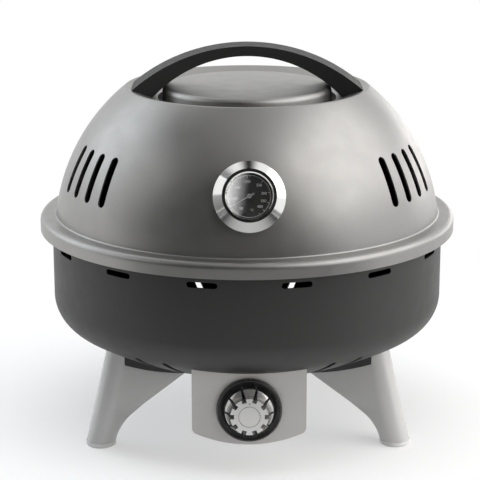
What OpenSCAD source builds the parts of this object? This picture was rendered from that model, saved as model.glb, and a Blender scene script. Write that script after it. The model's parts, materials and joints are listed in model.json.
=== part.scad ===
// Portable round gas grill: domed lift-off lid, bowl on three legs, one gas tap.
// Millimetres, +Z up. The origin is on the table, on the grill's axis; the front faces -Y.
// Azimuths are in degrees from the front, positive towards +X.

/* [Lid] */
// Diameter over the lid's rim
rim_d = 420; // [380:1:460]
// Height of the rim's skirt
skirt_h = 15; // [12:0.5:20]
// Width of the rim from the foot of the dome to its edge
flange_w = 16; // [14:0.5:22]
// Radius of the rim's rounded upper edge
rim_round = 4.5; // [2:0.5:6]
// Depth of the dome's centre below the rim's lower edge
dome_drop = 10.5; // [0:0.5:20]
// Sheet thickness of the lid
lid_t = 1.8; // [1.2:0.1:2.4]
// Radius of the fillet at the foot of the dome
foot_fillet = 3; // [1:0.5:4]
// Diameter of the crest of the lip round the top recess
lip_d = 239.4; // [232:0.2:250]
// Radius of the rounded lip
lip_round = 10; // [6:0.5:12]
// Fall of the ledge inside the lip, in degrees
ledge_slope = 20; // [14:1:22]
// Diameter over the groove round the centre boss
groove_d = 179; // [176:1:184]
// Depth of the groove below the lip's crest
groove_depth = 20; // [16:1:24]
// Diameter of the centre boss
boss_d = 170; // [150:1:172]
// Height of the boss above the lip's crest
boss_rise = 0.8; // [0:0.1:3]
// Radius of the boss's rounded shoulder
boss_round = 14; // [10:1:24]

/* [Lid vents] */
// Number of vents on each side
vent_count = 4; // [2:1:5]
// Azimuth of the middle of a row of vents
vent_az = 60; // [50:1:75]
// Angle between two vents
vent_pitch = 7.5; // [6:0.5:9]
// Length of a vent
vent_len = 50; // [30:1:60]
// Width of a vent
vent_w = 6.3; // [4:0.1:8]
// Elevation of the vents and the thermometer, seen from the dome's centre
vent_elev = 24.3; // [20:0.1:28]

/* [Handle] */
// Height of the handle's top above the lip's crest
handle_rise = 42.3; // [38:0.1:55]
// Thickness of the handle at its middle
handle_t = 9.8; // [8:0.1:14]
// Radius of the handle's upper curve
handle_top_r = 176.5; // [172:0.5:182]
// Radius of the handle's lower curve
handle_under_r = 130.5; // [128:0.5:140]
// Depth of the handle at its middle
handle_mid_w = 32; // [26:1:40]
// Depth of the handle at its feet
handle_foot_w = 56; // [46:1:64]
// Gap between the handle's feet and the lip's crest
handle_lip_gap = 2.5; // [1:0.5:5]
// Angle between the two screws of a handle foot
handle_screw_pitch = 14; // [10:1:18]

/* [Thermometer] */
// Outer diameter of the thermometer's bezel
bezel_d = 67; // [60:0.5:80]
// Height of the bezel above the dome
bezel_h = 7.5; // [7:0.1:10]
// Width of the bezel's sloping face
bezel_face_w = 8.3; // [6:0.1:10]
// Height of the bezel's straight outer edge
bezel_edge_h = 1.5; // [0.5:0.1:3]
// Diameter of the dial
dial_d = 42.8; // [36:0.2:43]
// Wall of the thermometer's case
case_wall = 1.7; // [1.2:0.1:2]
// Thickness of the thermometer's glass at its edge
glass_t = 1.2; // [0.8:0.1:1.6]
// Rise of the glass's curved face
glass_rise = 1.2; // [0.6:0.1:2]
// Length of the needle from its pivot
needle_len = 17; // [12:0.5:19]
// Diameter of the probe's thread through the lid
stem_d = 10; // [8:0.5:12]
// Diameter of the probe
probe_d = 6; // [4:0.5:7]
// Length of the probe below the dome
probe_len = 62; // [40:1:90]

/* [Bowl] */
// Gap between the bowl's wall and the lid's edge, seen from above
rim_overhang = 12; // [9:0.5:16]
// Depth of the bowl below the lid's lower edge
bowl_depth = 147.3; // [135:0.1:165]
// Radius of the bowl's curved bottom
base_r = 359; // [330:1:420]
// Radius of the bowl's corner
corner_r = 35; // [25:1:50]
// Sheet thickness of the bowl
bowl_t = 2; // [1.5:0.1:3]
// Width of the bowl's rim outside its wall
bowl_lip_w = 5; // [3:0.5:6]
// Number of air slots in the bowl's wall
slot_count = 14; // [8:2:18]
// Length of an air slot
slot_len = 29.5; // [20:0.5:34]
// Height of an air slot
slot_h = 5.6; // [4:0.1:8]
// Depth of the slots' middle below the lid's lower edge
slot_drop = 10; // [6:0.5:14]
// Angles of the bottom slits from the nearest leg
slit_angles = [-34.5, -25.2, 25.2, 34.5];
// Inner radius of the bottom slits
slit_in = 122; // [112:1:135]
// Outer radius of the bottom slits
slit_out = 187; // [160:1:188]
// Width of a bottom slit
slit_w = 6.7; // [4:0.1:8]

/* [Legs] */
// Height of the bowl's lowest point above the table
bowl_clear = 60.7; // [54:0.1:80]
// Azimuths of the legs: left, right and rear
leg_az = [-60, 60, 180];
// Radius of the circle through the feet
foot_r = 172; // [165:1:185]
// Lean of a leg, in degrees
leg_lean = 14.7; // [8:0.1:16]
// Diameter of a leg's post
post_d = 29; // [24:0.5:34]
// Thickness of the web's inner edge
web_edge = 12; // [8:0.5:18]
// Radius at which the web's lower edge meets the saddle
web_tip_r = 75; // [65:1:90]
// Slope of the web's lower edge, in degrees
web_slope = 27; // [20:1:32]
// Radius between the web and the post
web_fillet = 40; // [20:1:44]
// Thickness of the saddles between the legs and the bowl
saddle_t = 9; // [5:0.5:14]
// Distance from the axis at which the saddles end against the posts
saddle_end = 150; // [146:0.5:154]
// Height of a foot pad
pad_h = 5; // [3:0.5:8]
// Radius of a pad's lower edge
pad_round = 2.5; // [1:0.5:3]
// Radii at which the leg screws pass the bowl
leg_screw_r = [106, 134];

/* [Control panel] */
// Distance of the panel's face from the axis
panel_dist = 172; // [160:1:173]
// Width of the panel
panel_w = 109; // [96:1:110]
// Height of the tap's axis above the panel's lower edge
panel_below = 35.7; // [33:0.1:40]
// Depth of the tap's axis below the place where the panel's face meets the bowl
tap_drop = 35.7; // [34:0.1:40]
// Radius of the panel's curved lower edge
panel_arc_r = 123; // [110:1:160]
// Radius of the panel's lower corners
panel_corner = 7; // [4:0.5:12]
// Sheet thickness of the panel
panel_t = 2; // [1.5:0.1:3]
// Depth of the panel's edges
panel_depth = 16; // [15:1:18]
// Distance of the panel's screws from its middle
panel_screw_x = 38; // [30:1:44]

/* [Knob] */
// Outer diameter of the dished bezel behind the knob
dish_d = 62.6; // [58:0.2:66]
// Width of the dish's rounded rim
dish_rim_w = 2.6; // [2:0.1:3.5]
// Height of the dish's rim
dish_h = 5; // [4:0.5:7]
// Thickness of the dish's floor
dish_t = 1.5; // [1:0.1:2]
// Diameter of the knob at its base
knob_d = 46; // [40:0.5:48]
// Diameter of the knob's face over its petals
knob_face_d = 36; // [34:0.5:40]
// Height of the knob
knob_h = 15; // [12:0.5:20]
// Gap between the knob's base and the panel's face
knob_gap = 6; // [5:0.1:9]
// Number of petals round the knob
petal_count = 10; // [6:1:12]
// Width of the slit between two petals at the knob's base
petal_gap_back = 1.4; // [0.8:0.1:2]
// Width of the slit between two petals at the knob's face
petal_gap_front = 4.6; // [2.5:0.1:5]
// Radius of the floors of the slits
petal_floor_r = 14.4; // [13:0.1:15]
// Diameter of the cap in the knob's face
cap_d = 20; // [16:0.2:22]
// Travel of the knob when it is pressed
knob_travel = 3; // [2:0.5:4]

/* [Gas tap] */
// Diameter of the spindle
spindle_d = 8; // [6:0.5:9]
// Diameter of the tap's threaded neck
neck_d = 14; // [13:0.5:16]
// Diameter of the tap's body
tap_d = 23; // [20:0.5:24]
// Length of the tap's body behind the panel
tap_len = 38; // [36:1:44]
// Diameter of the turning plug in the tap
plug_d = 15; // [13:0.5:16]
// Length of the plug
plug_len = 21; // [18:1:22]
// Outer diameter of the gas inlet's hose tail
tail_d = 8; // [6:0.5:10]
// Length of the hose tail
tail_len = 20; // [14:1:24]
// Length of the gas jet behind the tap
jet_len = 12; // [10:1:16]

/* [Burner] */
// Depth of the mixing tube's axis below the bowl
tube_drop = 12.7; // [11:0.1:16]
// Outer diameter of the mixing tube
tube_d = 18; // [14:0.5:19]
// Wall of the mixing tube
tube_wall = 1.5; // [1:0.1:2]
// Diameter of the mixing tube's mouth
mouth_d = 26; // [22:0.5:28]
// Length of the mixing tube's flared mouth
mouth_len = 12; // [8:1:16]
// Diameter of the burner
burner_d = 88; // [70:1:100]
// Height of the burner's stem above the bowl's bottom
burner_stem_h = 16; // [12:1:24]
// Height of the burner's cap
burner_cap_h = 10; // [8:0.5:14]
// Number of flame ports
port_count = 28; // [16:2:36]
// Diameter of the heat plate over the burner
heat_plate_d = 140; // [120:1:170]
// Height of the heat plate's edge above the bowl's bottom
heat_plate_h = 50; // [46:1:60]
// Height of the igniter's insulator above the bowl's bottom
igniter_h = 18; // [14:1:24]

/* [Grate] */
// Gap between the grate and the bowl's wall
grate_gap = 10; // [6:0.5:14]
// Height of the grate
grate_h = 9; // [6:0.5:10]
// Depth of the grate's underside below the lid's lower edge
grate_drop = 5; // [3:0.5:6]
// Width of the grate's outer ring
grate_ring_w = 7; // [5:0.5:10]
// Width of a bar
bar_w = 4.5; // [3:0.1:6]
// Distance between two bars
bar_pitch = 11.5; // [9:0.1:16]
// Width of a support lug under the grate
lug_w = 16; // [10:1:24]
// Reach of a support lug under the grate's edge
lug_reach = 8; // [5:0.5:14]

/* [Fits] */
// Gap between curved faces that are bolted together
seat_gap = 0.1; // [0.05:0.05:0.3]
// Radial gap of a shaft in its bore
run_gap = 0.05; // [0.03:0.01:0.1]
// Radial gap of a screw or stem in its hole
hole_gap = 0.2; // [0.1:0.05:0.4]
// Diameter of the screws
screw_d = 5; // [4:0.5:6]
// Depth of a screw's thread in the piece that it holds
screw_grip = 10; // [8:1:14]

/* [Hidden] */
$fn = 96;
ball_fn = 300;

// Larger than the whole grill, for cutting shapes
far = 600;

// Heights above the table
bowl_bottom = bowl_clear;
rim_z = bowl_bottom + bowl_depth;
bowl_inside = bowl_bottom + bowl_t;
tube_z = bowl_bottom - tube_drop;

// Dome of the lid
rim_r = rim_d / 2;
dome_foot_r = rim_r - flange_w;
dome_r = norm([dome_foot_r, skirt_h + dome_drop]);
dome_z = rim_z - dome_drop;
flange_extra = 0.6;
flange_t = lid_t + flange_extra;
flange_under = skirt_h - flange_t;

// Lip, ledge, groove and boss, in radius and height above the rim's lower edge
lip_c = [lip_d / 2, sqrt(pow(dome_r - lip_round, 2) - pow(lip_d / 2, 2)) - dome_drop];
lip_crest = lip_c.y + lip_round;
lip_out = (lip_c + [0, dome_drop]) / norm(lip_c + [0, dome_drop]);
ledge_n = [-sin(ledge_slope), cos(ledge_slope)];
groove_z = lip_crest - groove_depth;
boss_z = lip_crest + boss_rise;
function ledge_top(d) = lip_c + (lip_round - d) * ledge_n;
function ledge_height(r, d) = ledge_top(d).y + (r - ledge_top(d).x) * tan(ledge_slope);

// Handle
handle_top = rim_z + lip_crest + handle_rise;
handle_foot_x = lip_d / 2 - handle_lip_gap;
handle_flare = (handle_foot_w - handle_mid_w) / 2;
handle_side_r = (pow(handle_foot_x, 2) + pow(handle_flare, 2)) / (2 * handle_flare);
ledge_mid_r = (groove_d / 2 + lip_d / 2) / 2;

// Thermometer, measured out from the dome along its axis
case_r = dial_d / 2 + case_wall;
bezel_bore_r = bezel_d / 2 - bezel_face_w;
bezel_sink = 10;
case_floor = 0.8;
case_floor_t = 1.5;
dial_t = 0.6;
ring_h = 0.9;
glass_z = bezel_h - ring_h - glass_t;
glass_curve_r = (pow(dial_d / 2, 2) + pow(glass_rise, 2)) / (2 * glass_rise);
gasket_set = 1.3;
gasket_top = bezel_h - gasket_set;
needle_gap = 0.7;
needle_z = case_floor + case_floor_t + dial_t + needle_gap;
needle_t = 0.6;
pivot_r = 0.8;
pivot_proud = 0.2;
stem_nut_h = 6;
stem_nut_d = 18;
stem_nut_gap = 0.3;
stem_proud = 4;
stem_end = -lid_t - stem_nut_h - stem_proud;

// Bowl
bowl_r = rim_r - rim_overhang;
bowl_top = rim_z + flange_under;
base_c = [0, bowl_bottom + base_r];
corner_reach = bowl_r - corner_r;
corner_c = [corner_reach, base_c.y - sqrt(pow(base_r - corner_r, 2) - pow(corner_reach, 2))];
corner_dir = (corner_c - base_c) / norm(corner_c - base_c);
slot_pitch = 360 / slot_count;
function bowl_height(r, d) = base_c.y - sqrt(pow(base_r + d, 2) - pow(r, 2));

// Legs: lines of the post's inner side and of the web's lower edge, as radius and height
post_n = [-cos(leg_lean), -sin(leg_lean)];
web_n = [-sin(web_slope), -cos(web_slope)];
post_off = post_n * [foot_r, 0] + post_d / 2 + web_fillet;
web_off = web_n * [web_tip_r, bowl_height(web_tip_r, saddle_t)] + web_fillet;
web_det = post_n.x * web_n.y - post_n.y * web_n.x;
web_c = [
    (post_off * web_n.y - web_off * post_n.y) / web_det,
    (web_off * post_n.x - post_off * web_n.x) / web_det
];
post_end = web_c - web_fillet * post_n;
web_end = web_c - web_fillet * web_n;
leg_top = bowl_height(foot_r, 0);
leg_rings = 20;
leg_sides = 20;

// Control panel
panel_y = -panel_dist;
axis_z = bowl_height(panel_dist, 0) - tap_drop;
panel_low = axis_z - panel_below;
panel_c = [0, panel_low + panel_arc_r];
panel_reach = panel_w / 2 - panel_corner;
panel_corner_z = panel_c.y - sqrt(pow(panel_arc_r - panel_corner, 2) - pow(panel_reach, 2));
panel_boss_d = 12;
panel_boss_cover = 4;
panel_boss_h = screw_grip + panel_boss_cover;
panel_boss_gap = 2;
panel_screw_y = panel_y + panel_t + panel_boss_d / 2 + panel_boss_gap;
panel_rib_inset = 1;
panel_rib_w = panel_boss_d - 2 * panel_rib_inset;

// Knob and tap, measured out from the panel's face along the tap's axis
knob_face = knob_gap + knob_h;
knob_edge = 2;
knob_wall = 2;
dish_margin = 1;
cap_t = 1.4;
tap_nut_h = 3;
tap_nut_d = 20;
neck_proud = 0.3;
neck_top = dish_t + tap_nut_h + neck_proud;
tap_back = -panel_t - tap_len;
plug_set = 9;
plug_front = -panel_t - plug_set;
plug_back = plug_front - plug_len;
spindle_cover = 2;
spindle_front = knob_face - cap_t - spindle_cover;
spindle_back = plug_front - plug_set;
flat_depth = 1.5;
spindle_flat = spindle_d / 2 - flat_depth;
inlet_set = 26;
inlet_z = -panel_t - inlet_set;
inlet_proud = 6;
inlet_x = tap_d / 2 + inlet_proud;
inlet_boss_r = 7;
outlet_r = 7;
outlet_step = 1;
outlet_z = tap_back + outlet_r + outlet_step;
outlet_y = tube_z - axis_z;
inlet_nut_d = 16;
inlet_nut_h = 7;
jet_nut_d = 12;
jet_r = 3.5;
jet_hole_r = 0.5;
gas_way_r = 1.5;
jet_tip = tap_back - jet_len;

// Burner, in height above the bowl's inside
tube_r = tube_d / 2;
burner_r = burner_d / 2;
burner_flange_w = 22;
burner_flange_r = tube_r + burner_flange_w;
burner_flange_t = 4;
burner_screw_in = 7;
burner_screw_r = burner_flange_r - burner_screw_in;
burner_wall = 4;
cup_wall = 2.5;
cup_floor_t = 2;
cup_h = 8;
cap_seat = burner_stem_h + cup_h;
cap_wall = 4;
cap_top_t = 3;
port_w = 2.4;
port_h = 4;
plate_foot_r = 3;
heat_plate_t = 1.2;
heat_plate_rise = 9;
igniter_out = 10;
igniter_r = burner_r + igniter_out;
igniter_az = -40;
igniter_xy = igniter_r * [sin(igniter_az), -cos(igniter_az)];
insulator_r = 3.5;
insulator_tail = 8;
insulator_low = bowl_height(igniter_r, 0) - insulator_tail;
collar_h = 5;
collar_w = 2.5;
electrode_r = 1;
electrode_tail = 2;
electrode_low = insulator_low - electrode_tail;
electrode_lift = 2.5;
electrode_bend = bowl_inside + cap_seat + electrode_lift;
spark_gap = 3;
spark_set = 28;
piezo_z = -panel_t - spark_set;
spark_proud = 4;
piezo_x = -tap_d / 2 - spark_proud;
spark_boss_r = 4.5;
lead_r = 1.6;
lead_dip = 6;
bend_swell = 1.05;
jet_cover = 6;
mouth_y = panel_y - jet_tip - jet_cover;

// Grate
grate_z = rim_z - grate_drop;
grate_r = bowl_r - bowl_t - grate_gap;
bar_half = floor((grate_r - grate_ring_w) / bar_pitch);
lug_t = 1.5;
lug_h = 16;
lug_steps = [for (q = [0.15, 0.35, 0.65, 0.85]) round(q * slot_count)];

// Positions shared by several pieces

module at_az(a) {
    rotate([0, 0, a]) children();
}

// On the dome's outer face: z points out of the dome and y up the meridian
module on_dome(a, e) {
    translate([0, 0, dome_z])
        rotate([0, 0, a])
            rotate([90 - e, 0, 0])
                translate([0, 0, dome_r])
                    children();
}

module on_thermometer() {
    on_dome(0, vent_elev) children();
}

// On the ledge inside the lip: z points up out of the ledge
module on_ledge(a) {
    at_az(a)
        translate([0, -ledge_mid_r, rim_z + ledge_height(ledge_mid_r, 0)])
            rotate([-ledge_slope, 0, 0])
                children();
}

// On the bowl's curved bottom, at a radius from the axis: z points down out of the bowl
module on_base(a, r) {
    at_az(a)
        translate([0, 0, base_c.y])
            rotate([180 - asin(r / base_r), 0, 0])
                translate([0, 0, base_r])
                    children();
}

// On the panel's face at the tap's axis: z points out to the front and y up
module on_panel() {
    translate([0, panel_y, axis_z]) rotate([90, 0, 0]) children();
}

module on_handle_screws() {
    for (side = [-90, 90], step = [-0.5, 0.5])
        on_ledge(side + step * handle_screw_pitch) children();
}

module on_leg_screws() {
    for (a = leg_az, r = leg_screw_r)
        on_base(a, r) children();
}

module on_panel_screws() {
    for (x = [-panel_screw_x, panel_screw_x])
        on_base(atan2(x, -panel_screw_y), norm([x, panel_screw_y])) children();
}

module on_burner_screws() {
    for (a = [60, 180, 300])
        on_base(a, burner_screw_r) children();
}

// Shapes shared by several pieces

module stadium(length, width) {
    square([width, length - width], center = true);
    for (s = [-0.5, 0.5])
        translate([0, s * (length - width)]) circle(d = width);
}

module tube(r_out, r_in, z_from, z_to) {
    translate([0, 0, z_from])
        difference() {
            cylinder(r = r_out, h = z_to - z_from);
            translate([0, 0, -1]) cylinder(r = r_in, h = z_to - z_from + 2);
        }
}

module rod(r, z_from, z_to) {
    translate([0, 0, z_from]) cylinder(r = r, h = z_to - z_from);
}

module hexagon(d, z_from, z_to) {
    translate([0, 0, z_from]) cylinder(d = d, h = z_to - z_from, $fn = 6);
}

// Pan-headed screw: the head lies below z_seat and the shank reaches up to z_end
module screw(z_seat, z_end) {
    head_r = screw_d * 0.95;
    head_h = screw_d * 0.6;
    rod(screw_d / 2, z_seat - head_h, z_end);
    difference() {
        rod(head_r, z_seat - head_h, z_seat);
        hexagon(screw_d * 0.9, z_seat - head_h - 1, z_seat - head_h / 2);
    }
}

module screw_hole(z_from, z_to) {
    rod(screw_d / 2 + hole_gap, z_from, z_to);
}

// Round rod between two points, with a ball at its far end
module link(p, q, r) {
    v = q - p;
    translate(p)
        rotate([0, acos(v.z / norm(v)), atan2(v.y, v.x)])
            cylinder(r = r, h = norm(v));
    translate(q) sphere(r = r * bend_swell);
}

module bowl_ball(d) {
    translate([0, 0, base_c.y]) sphere(r = base_r + d, $fn = ball_fn);
}

// Space under the bowl's inner face, out to a radius
module bowl_under(r) {
    difference() {
        rod(r, bowl_bottom - 10, bowl_height(r, -bowl_t) + 1);
        bowl_ball(-bowl_t - seat_gap);
    }
}

module dome_ball(d) {
    translate([0, 0, dome_z]) sphere(r = dome_r + d, $fn = ball_fn);
}

// Half section of the lid's dome, recess and boss, set in by a wall of d
module dome_outline(d) {
    difference() {
        intersection() {
            translate([0, -dome_drop]) circle(r = dome_r - d);
            square([far, far]);
        }
        polygon([
            lip_c,
            lip_c + (lip_round + far) * lip_out,
            [0, 2 * far],
            [0, groove_z - d],
            [groove_d / 2 + d, groove_z - d],
            [groove_d / 2 + d, ledge_height(groove_d / 2 + d, d)],
            ledge_top(d)
        ]);
    }
    intersection() {
        translate(lip_c) circle(r = lip_round - d);
        square([far, far]);
    }
    square([boss_d / 2 - d, boss_z - boss_round]);
    square([boss_d / 2 - boss_round, boss_z - d]);
    translate([boss_d / 2 - boss_round, boss_z - boss_round]) circle(r = boss_round - d);
}

// Half section of the rim outside the dome
module rim_outline() {
    square([rim_r, skirt_h - rim_round]);
    square([rim_r - rim_round, skirt_h]);
    translate([rim_r - rim_round, skirt_h - rim_round]) circle(r = rim_round);
    translate([dome_foot_r - foot_fillet, skirt_h - 1])
        difference() {
            square([2 * foot_fillet, foot_fillet + 1]);
            translate([2 * foot_fillet, foot_fillet + 1]) circle(r = foot_fillet);
        }
}

module lid_outline(d) {
    dome_outline(d);
    rim_outline();
}

module lid_shell() {
    color("#8b8b86")
    difference() {
        translate([0, 0, rim_z])
            rotate_extrude()
                difference() {
                    lid_outline(0);
                    dome_outline(lid_t);
                    translate([0, -1]) square([rim_r - lid_t, flange_under + 1]);
                }
        for (side = [-1, 1], i = [0 : vent_count - 1])
            on_dome(side * (vent_az + (i - (vent_count - 1) / 2) * vent_pitch), vent_elev)
                linear_extrude(40, center = true) stadium(vent_len, vent_w);
        on_thermometer() rod(stem_d / 2 + hole_gap, -lid_t - 10, 10);
        on_handle_screws() screw_hole(-lid_t - 2, 2);
    }
}

// Arch between two curves, waisted in plan, with its feet cut to the ledge
module carry_handle() {
    color("#26282a")
    difference() {
        intersection() {
            translate([0, 0, handle_top])
                rotate([90, 0, 0])
                    linear_extrude(far, center = true)
                        difference() {
                            translate([0, -handle_top_r]) circle(r = handle_top_r);
                            translate([0, -handle_t - handle_under_r]) circle(r = handle_under_r);
                            translate([-far / 2, -far - handle_t - handle_under_r]) square(far);
                        }
            linear_extrude(far)
                difference() {
                    square([2 * handle_foot_x, handle_foot_w], center = true);
                    for (s = [-1, 1])
                        translate([0, s * (handle_mid_w / 2 + handle_side_r)])
                            circle(r = handle_side_r);
                }
        }
        translate([0, 0, rim_z]) rotate_extrude() lid_outline(-seat_gap);
        on_handle_screws() screw_hole(-lid_t - 2, screw_grip + 1);
    }
}

module handle_screws() {
    color("silver")
    on_handle_screws() screw(-lid_t - seat_gap, screw_grip);
}

module thermometer_bezel() {
    color("#d8d8d6")
    difference() {
        on_thermometer()
            rotate_extrude()
                polygon([
                    [stem_d / 2 + hole_gap, -bezel_sink],
                    [bezel_d / 2, -bezel_sink],
                    [bezel_d / 2, bezel_edge_h],
                    [bezel_bore_r, bezel_h],
                    [bezel_bore_r, case_floor],
                    [stem_d / 2 + hole_gap, case_floor]
                ]);
        dome_ball(seat_gap);
    }
}

// Rubber sleeve between the case and the bezel
module thermometer_gasket() {
    color("#111112")
    on_thermometer()
        tube(bezel_bore_r - seat_gap, case_r + seat_gap, case_floor, gasket_top);
}

// Bright ring on the glass, with a sloping inner face
module thermometer_ring() {
    color("#d8d8d6")
    on_thermometer()
        rotate_extrude()
            polygon([
                [dial_d / 2, glass_z + glass_t],
                [case_r, glass_z + glass_t],
                [case_r, glass_z + glass_t + ring_h],
                [case_r - case_wall / 2, glass_z + glass_t + ring_h]
            ]);
}

// Open cup that carries the dial and the glass
module thermometer_case() {
    color("#b4b4b2")
    on_thermometer() {
        tube(case_r, dial_d / 2, case_floor + case_floor_t, glass_z);
        tube(case_r, pivot_r + hole_gap, case_floor, case_floor + case_floor_t);
    }
}

module thermometer_dial() {
    color("#1c1d1e")
    on_thermometer()
        tube(dial_d / 2 - seat_gap, pivot_r + hole_gap, case_floor + case_floor_t,
            case_floor + case_floor_t + dial_t);
}

// Flat disc with a slightly domed face
module thermometer_glass() {
    color("#dfe8ea", 0.35)
    on_thermometer()
        rotate_extrude() {
            translate([0, glass_z]) square([case_r, glass_t]);
            intersection() {
                translate([0, glass_z + glass_t + glass_rise - glass_curve_r])
                    circle(r = glass_curve_r, $fn = ball_fn);
                translate([0, glass_z]) square([dial_d / 2 - seat_gap, glass_t + 2 * glass_rise]);
            }
        }
}

// Threaded stem, probe and needle pivot in one turned piece
module thermometer_probe() {
    color("silver")
    on_thermometer() {
        rod(pivot_r, case_floor, needle_z + needle_t + pivot_proud);
        rod(stem_d / 2, stem_end, case_floor);
        rod(probe_d / 2, -probe_len + probe_d / 2, stem_end);
        translate([0, 0, -probe_len + probe_d / 2]) sphere(d = probe_d);
    }
}

module thermometer_nut() {
    nut_top = -lid_t - stem_nut_gap;
    color("silver")
    on_thermometer()
        difference() {
            hexagon(stem_nut_d, nut_top - stem_nut_h, nut_top);
            rod(stem_d / 2 + run_gap, nut_top - stem_nut_h - 1, nut_top + 1);
        }
}

// Tapered pointer at rest at eight o'clock, with a short tail
module thermometer_needle() {
    hub_r = 2.2;
    tail_len = 5;
    tail_w = 1.8;
    root_w = 1.4;
    tip_w = 0.5;
    rest_angle = 120;
    color("#cfcfcc")
    on_thermometer()
        rotate([0, 0, rest_angle])
            translate([0, 0, needle_z])
                linear_extrude(needle_t)
                    difference() {
                        union() {
                            circle(r = hub_r);
                            polygon([
                                [-tail_w / 2, -tail_len],
                                [tail_w / 2, -tail_len],
                                [root_w / 2, 0],
                                [tip_w / 2, needle_len],
                                [-tip_w / 2, needle_len],
                                [-root_w / 2, 0]
                            ]);
                        }
                        circle(r = pivot_r + run_gap);
                    }
}

// Half section of the bowl, set in by a wall of d
module bowl_outline(d) {
    translate([0, corner_c.y]) square([bowl_r - d, far]);
    translate(corner_c) circle(r = corner_r - d);
    intersection() {
        translate(base_c) circle(r = base_r - d);
        polygon([base_c, base_c + 2 * base_r * corner_dir, [0, -2 * far]]);
    }
}

module bowl_shell() {
    color("#303132")
    difference() {
        rotate_extrude()
            intersection() {
                difference() {
                    union() {
                        bowl_outline(0);
                        translate([0, bowl_top - bowl_t]) square([bowl_r + bowl_lip_w, bowl_t]);
                    }
                    bowl_outline(bowl_t);
                }
                square([far, bowl_top]);
            }
        for (i = [0 : slot_count - 1])
            at_az((i + 0.5) * slot_pitch)
                translate([0, -bowl_r, rim_z - slot_drop])
                    rotate([90, 90, 0])
                        linear_extrude(20, center = true) stadium(slot_len, slot_h);
        for (a = leg_az, s = slit_angles)
            at_az(a + s)
                translate([0, -(slit_in + slit_out) / 2, bowl_bottom])
                    linear_extrude(corner_c.y - bowl_bottom)
                        stadium(slit_out - slit_in, slit_w);
        rod(tube_r + hole_gap, bowl_bottom - 1, bowl_inside + 1);
        igniter_place() rod(insulator_r + hole_gap, insulator_low, bowl_inside + igniter_h);
        on_leg_screws() screw_hole(-bowl_t - 2, 2);
        on_panel_screws() screw_hole(-bowl_t - 2, 2);
        on_burner_screws() screw_hole(-bowl_t - 2, 2);
    }
}

// Radius of the leg's inner edge at a height: post, fillet, then the web's lower edge
function web_edge_r(z) =
    z < post_end.y ? foot_r - z * tan(leg_lean) - post_d / 2 / cos(leg_lean)
    : z < web_end.y ? web_c.x + sqrt(pow(web_fillet, 2) - pow(z - web_c.y, 2))
    : max(web_end.x - (z - web_end.y) / tan(web_slope), web_tip_r / 2);

// Level section of a leg: an arc round the post and a smaller one round the web's edge
function leg_ring(z) =
    let (
        post_r = post_d / 2,
        axis_r = foot_r - z * tan(leg_lean),
        reach = max(axis_r - web_edge_r(z) - post_r, 0),
        edge_r = max(web_edge / 2, post_r - reach / 3),
        shift = post_r + reach - edge_r,
        taper = shift > 0 ? asin(min((post_r - edge_r) / shift, 1)) : 90,
        post_span = 180 + 2 * taper,
        edge_span = 180 - 2 * taper
    )
    concat(
        [for (i = [0 : leg_sides]) let (a = taper - i * post_span / leg_sides)
            [post_r * cos(a), -axis_r + post_r * sin(a), z]],
        [for (i = [0 : leg_sides / 2]) let (a = 180 - taper - i * edge_span / leg_sides * 2)
            [edge_r * cos(a), -axis_r + shift + edge_r * sin(a), z]]
    );

// Leg and saddle as one blank, standing at the front
module leg_blank() {
    rings = [for (i = [0 : leg_rings])
        leg_ring(pad_h + (leg_top - pad_h) * i / leg_rings)];
    n = len(rings[0]);
    polyhedron(
        points = [for (ring = rings) each ring],
        faces = concat(
            [[for (j = [n - 1 : -1 : 0]) j]],
            [[for (j = [0 : n - 1]) leg_rings * n + j]],
            [for (i = [0 : leg_rings - 1], j = [0 : n - 1]) let (k = (j + 1) % n)
                [i * n + j, i * n + k, (i + 1) * n + k]],
            [for (i = [0 : leg_rings - 1], j = [0 : n - 1]) let (k = (j + 1) % n)
                [i * n + j, (i + 1) * n + k, (i + 1) * n + j]]
        )
    );
}

module leg(a) {
    color("#b9bab7")
    difference() {
        at_az(a) leg_blank();
        bowl_ball(seat_gap);
        intersection() {
            bowl_ball(saddle_t);
            at_az(a) translate([-far / 2, -saddle_end, 0]) cube(far);
        }
        on_leg_screws() screw_hole(0, saddle_t + screw_grip + 1);
    }
}

module leg_left() {
    leg(leg_az[0]);
}

module leg_right() {
    leg(leg_az[1]);
}

module leg_rear() {
    leg(leg_az[2]);
}

module leg_saddles() {
    color("#3a3b3c")
    difference() {
        union() {
            for (a = leg_az)
                intersection() {
                    at_az(a) leg_blank();
                    bowl_ball(saddle_t - seat_gap);
                    at_az(a) translate([-far / 2, seat_gap - saddle_end, 0]) cube(far);
                }
        }
        bowl_ball(seat_gap);
        on_leg_screws() screw_hole(-1, saddle_t + 1);
    }
}

module foot_pads() {
    pad_r = post_d / 2 / cos(leg_lean);
    pad_shift = pad_h * tan(leg_lean);
    color("#c4c5c2")
    for (a = leg_az)
        at_az(a)
            translate([0, -foot_r + pad_shift, 0])
                rotate_extrude() {
                    square([pad_r - pad_round, pad_h]);
                    translate([0, pad_round]) square([pad_r, pad_h - pad_round]);
                    intersection() {
                        translate([pad_r - pad_round, pad_round]) circle(r = pad_round);
                        square(far);
                    }
                }
}

module leg_screws() {
    color("silver")
    on_leg_screws() screw(-bowl_t - seat_gap, saddle_t + screw_grip);
}

// Front outline of the panel in width and height, set in by d
module panel_outline(d) {
    translate([-panel_w / 2 + d, panel_corner_z]) square([panel_w - 2 * d, far]);
    for (s = [-1, 1])
        translate([s * panel_reach, panel_corner_z]) circle(r = panel_corner - d);
    intersection() {
        translate(panel_c) circle(r = panel_arc_r - d);
        polygon([
            panel_c,
            panel_c + 3 * ([-panel_reach, panel_corner_z] - panel_c),
            panel_c + 3 * ([panel_reach, panel_corner_z] - panel_c)
        ]);
    }
}

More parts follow.
